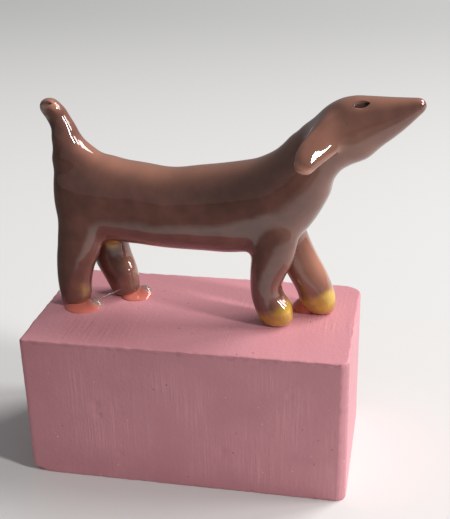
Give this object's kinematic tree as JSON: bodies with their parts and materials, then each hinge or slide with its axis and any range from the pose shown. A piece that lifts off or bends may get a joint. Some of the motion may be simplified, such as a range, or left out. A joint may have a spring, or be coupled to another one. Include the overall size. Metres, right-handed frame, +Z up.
{
  "type": "dachshund figurine on a plinth",
  "caption": "Glazed clay dachshund in a walking stance, its feet held by beads of clear glue on a painted wooden block that stands on a shelf.",
  "frame": {"origin": "middle of the plinth's underside, where the figurine stands", "axes": "+X along the plinth towards the dog's nose, +Y across the plinth to the dog's left, +Z up"},
  "size_m": [0.1171, 0.053, 0.1191],
  "materials": {
    "painted_wood": "satin",
    "chestnut_glaze": "gloss",
    "ochre_glaze": "gloss",
    "clear_glue": "gloss"
  },
  "bodies": {
    "root": {"plinth": "painted_wood", "body": "chestnut_glaze", "head": "chestnut_glaze", "ear_right": "chestnut_glaze", "ear_left": "chestnut_glaze", "tail": "chestnut_glaze", "hind_leg_right": "chestnut_glaze", "hind_leg_left": "chestnut_glaze", "foreleg_right": "ochre_glaze", "foreleg_left": "ochre_glaze", "glue_bead_hind_right": "clear_glue", "glue_bead_hind_left": "clear_glue", "glue_bead_fore_left": "clear_glue"}
  },
  "joints": []
}
